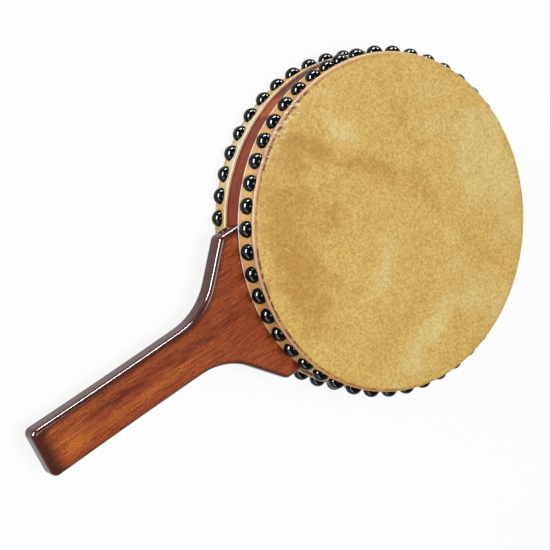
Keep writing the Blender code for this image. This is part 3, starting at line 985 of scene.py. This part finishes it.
def lift(flat, height):
    """(x, y) made (x, y, height), for a row or a grid of points."""
    return np.concatenate([flat, np.full((*flat.shape[:-1], 1), height)], axis=-1)


def rows_across(edge, share):
    """(x t, y) for each edge point (x, y), with the shares t running across the board."""
    return np.stack([edge[..., :1] * share, edge[..., 1:] + 0 * share], axis=-1)


def face_grids(inset, height):
    """A wing is P (1 - s) + Q s, from outline points P to seat points Q; the rest runs across."""
    side = side_outline(inset)
    share = np.linspace(0, 1, WING_ROWS)[:, None] ** WING_CROWDING
    outer = side[:NECK_INDEX + 1, None]
    inner = seat_arc((HORN - inset) * ACROSS_SEAT[:NECK_INDEX + 1, None])
    wing = outer * (1 - share) + inner * share
    spine = outer[-1] * (1 - share) + inner[-1] * share
    wedge = rows_across(spine[::-1], ACROSS_GRIP)
    grip = rows_across(side[NECK_INDEX:], ACROSS_GRIP)
    flat = [wing, (wing * (-1, 1))[:, ::-1], wedge, grip]
    return [lift(grid, height) for grid in flat]


print("rows down the board's edge:", len(edge_section()[0]))

# %% [markdown]
# Now the parts come together. The rings run round the outline at each height, the seat's
# arcs close them where the board meets the shell, and the two faces close top and bottom.
# The seat keeps its sharp edges, as a sawn one does.


# %% Build the board
def make_handle(finish):
    """Rings of the outline, each at its own inset and height, closed by the faces and the seat."""
    inset, height = edge_section()
    rims = []
    seats = []
    for step, level in zip(inset, height):
        side = side_outline(step)
        end = rows_across(side[-1], ACROSS_GRIP[1:-1])
        loop = np.concatenate([side, end, side[::-1] * (-1, 1)])
        rims.append(lift(loop, level))
        seats.append(lift(seat_arc((HORN - step) * ACROSS_SEAT), level))
    front = face_grids(inset[0], height[0])
    back = [grid[:, ::-1] for grid in face_grids(inset[-1], height[-1])]
    grids = [np.array(rims), np.array(seats)[:, ::-1], *front, *back]
    marks = {
        # The first mark is the painted shade round the board's borders.
        "edge_shade": [edge_shade_mask(grid) for grid in grids],
        # The tone carries the board's streaks and a painted shadow by the seat.
        "tone": [board_tone_and_seat_shade(grid) for grid in grids],
    }
    return add_piece("handle_board", grids, finish, marks, replaces=["handle"])


handle_board = make_handle(handle_finish)
print("handle points:", len(handle_board.data.vertices))

# %% [markdown]
# ## The screws
# Three screws hold the handle from inside the shell, out of sight. They could be made anew
# like the rest, but nobody sees them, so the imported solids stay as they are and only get
# plain steel with fine marks.


# %% Finish the screws
def make_steel():
    """Grey metal, lighter and rougher where one fine noise is high."""
    steel = Finish("screw_steel", 0.5)
    marks = steel.noise(steel.place(), 2500.0, 2.0, 0.5)
    steel.feed(Base_Color=steel.blend(marks, paint(150, 148, 144), paint(196, 194, 190)))
    steel.feed(Roughness=0.3 + marks * 0.2, Metallic=1.0)
    return steel.material


steel_finish = make_steel()
for number in (1, 2, 3):
    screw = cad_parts[f"handle_screw_{number}"]
    screw.data.materials.clear()
    screw.data.materials.append(steel_finish)
print("screws finished")

# %% [markdown]
# ## Floor
# The photograph is a cut-out on white. A white board under lamps would come out grey and
# would tint the skirts, so the floor is mostly white light to the camera and in reflections,
# and partly its own matt colour, which takes the drum's soft shadow.

# %% Floor
FLOOR_SIZE = 12.0
FLOOR_DROP = 0.5 * MM
FLOOR_GLOW = 0.88


def make_floor():
    """A wide plane: mostly glow to camera, gloss and glass rays, and matt paint to the rest."""
    bpy.ops.mesh.primitive_plane_add(size=FLOOR_SIZE, location=(0, 0, -FLOOR_DROP))
    floor = bpy.context.object
    floor.name = "floor"
    pale = Finish("pale_floor", 0.0)
    pale.feed(Base_Color=paint(254, 254, 254), Roughness=0.9)
    kinds = ("Is Camera Ray", "Is Glossy Ray", "Is Transmission Ray")
    rays = [pale.node("LightPath", output=kind) for kind in kinds]
    seen = rays[0].math("MAXIMUM", rays[1]).math("MAXIMUM", rays[2])
    glow = pale.node("Emission", {}, {"Color": (1, 1, 1, 1), "Strength": 1.0})
    matt = Amount(pale, pale.shader.outputs[0])
    both = pale.node("MixShader", {}, {0: seen * FLOOR_GLOW, 1: matt, 2: glow})
    pale.tree.links.new(both.socket, pale.tree.nodes["Material Output"].inputs["Surface"])
    floor.data.materials.append(pale.material)
    return floor


floor = make_floor()
print(f"floor {floor.dimensions.x:.0f} m wide")

# %% [markdown]
# ## Camera
# The camera stands where the photograph's stood. It could be set by eye, but round things
# give it away: the ellipses of the head and of the rows of studs fix its place and its lens.
# It is rolled so that the handle points down to the left.

# %% Camera
CAMERA_PLACE = Vector((-0.25364, -0.42853, 0.68528))
CAMERA_AIM = Vector((-0.00860, -0.08092, 0.02315))
CAMERA_ROLL = math.radians(95.557)
CAMERA_LENS = 85.09
CAMERA_SENSOR = 36

lens = bpy.data.cameras.new("camera")
lens.lens = CAMERA_LENS
lens.sensor_width = CAMERA_SENSOR
camera = bpy.data.objects.new("camera", lens)
bpy.context.scene.collection.objects.link(camera)
look = (CAMERA_AIM - CAMERA_PLACE).to_track_quat("-Z", "Y").to_matrix().to_4x4()
camera.matrix_world = Matrix.Translation(CAMERA_PLACE) @ look @ Matrix.Rotation(CAMERA_ROLL, 4, "Z")
bpy.context.scene.camera = camera
print("camera looks along", [round(-value, 4) for value in camera.matrix_world.col[2][:3]])

# %% [markdown]
# ## Lamps
# One big softbox would light the hide well, but the spots on the studs are small and bright,
# and small bright lamps would be too harsh on the hide. So the two jobs are split. A soft
# key hangs nearly overhead, and a fill at the left lights the skirts without showing in the
# gloss. Four panels stand low round the left and the front, and show in the gloss only. The
# blue one spares the handle, whose face would mirror it white when seen from behind. The
# world is a plain dim grey that fills the shadows.

# %% Lamps and world
WORLD_LEVEL = 0.30
LAMP_AIM = Vector((0, -0.05, 0.03))
BLUISH = (0.80, 0.88, 1.0)


def add_softbox(name, toward, distance, size, radiance, tint=(1, 1, 1), matt=False, gloss=True):
    """A flat lamp that looks at the drum; its power is radiance times area times pi."""
    light = bpy.data.lights.new(name, "AREA")
    light.shape = "RECTANGLE"
    light.size, light.size_y = size
    light.energy = radiance * math.pi * size[0] * size[1]
    light.color = tint
    lamp = bpy.data.objects.new(name, light)
    lamp.visible_camera = False
    lamp.visible_diffuse = matt
    lamp.visible_glossy = gloss
    place = Vector(toward).normalized() * distance + LAMP_AIM
    aim = (LAMP_AIM - place).to_track_quat("-Z", "Y")
    lamp.matrix_world = Matrix.Translation(place) @ aim.to_matrix().to_4x4()
    bpy.context.scene.collection.objects.link(lamp)
    return lamp


def spare(lamp, piece):
    """Let the lamp light everything but the piece."""
    spared = bpy.data.collections.new("spared_by_" + lamp.name)
    spared.objects.link(piece)
    spared.collection_objects[0].light_linking.link_state = "EXCLUDE"
    lamp.light_linking.receiver_collection = spared


world = bpy.data.worlds.new("studio")
world.use_nodes = True
sky = world.node_tree.nodes["Background"]
sky.inputs["Color"].default_value = (WORLD_LEVEL, WORLD_LEVEL, WORLD_LEVEL, 1)
bpy.context.scene.world = world

add_softbox("key_softbox", (-0.12, -0.12, 0.985), 1.2, (0.5, 0.5), 11.9, matt=True)
add_softbox("left_fill", (-0.80, -0.50, 0.30), 1.6, (0.8, 0.8), 2.6, matt=True, gloss=False)
add_softbox("wide_panel", (-0.66, -0.75, 0.12), 1.0, (0.70, 0.26), 100.0)
add_softbox("low_panel", (-0.95, 0.26, 0.12), 1.0, (0.50, 0.18), 100.0)
add_softbox("small_panel", (-0.6, 0.76, 0.25), 1.0, (0.20, 0.20), 100.0)
blue_panel = add_softbox("blue_panel", (0.35, -0.93, 0.05), 1.0, (1.10, 0.50), 9.0, BLUISH)
spare(blue_panel, handle_board)

bpy.context.scene.view_settings.view_transform = "Standard"
print("lamps:", len(bpy.data.lights))
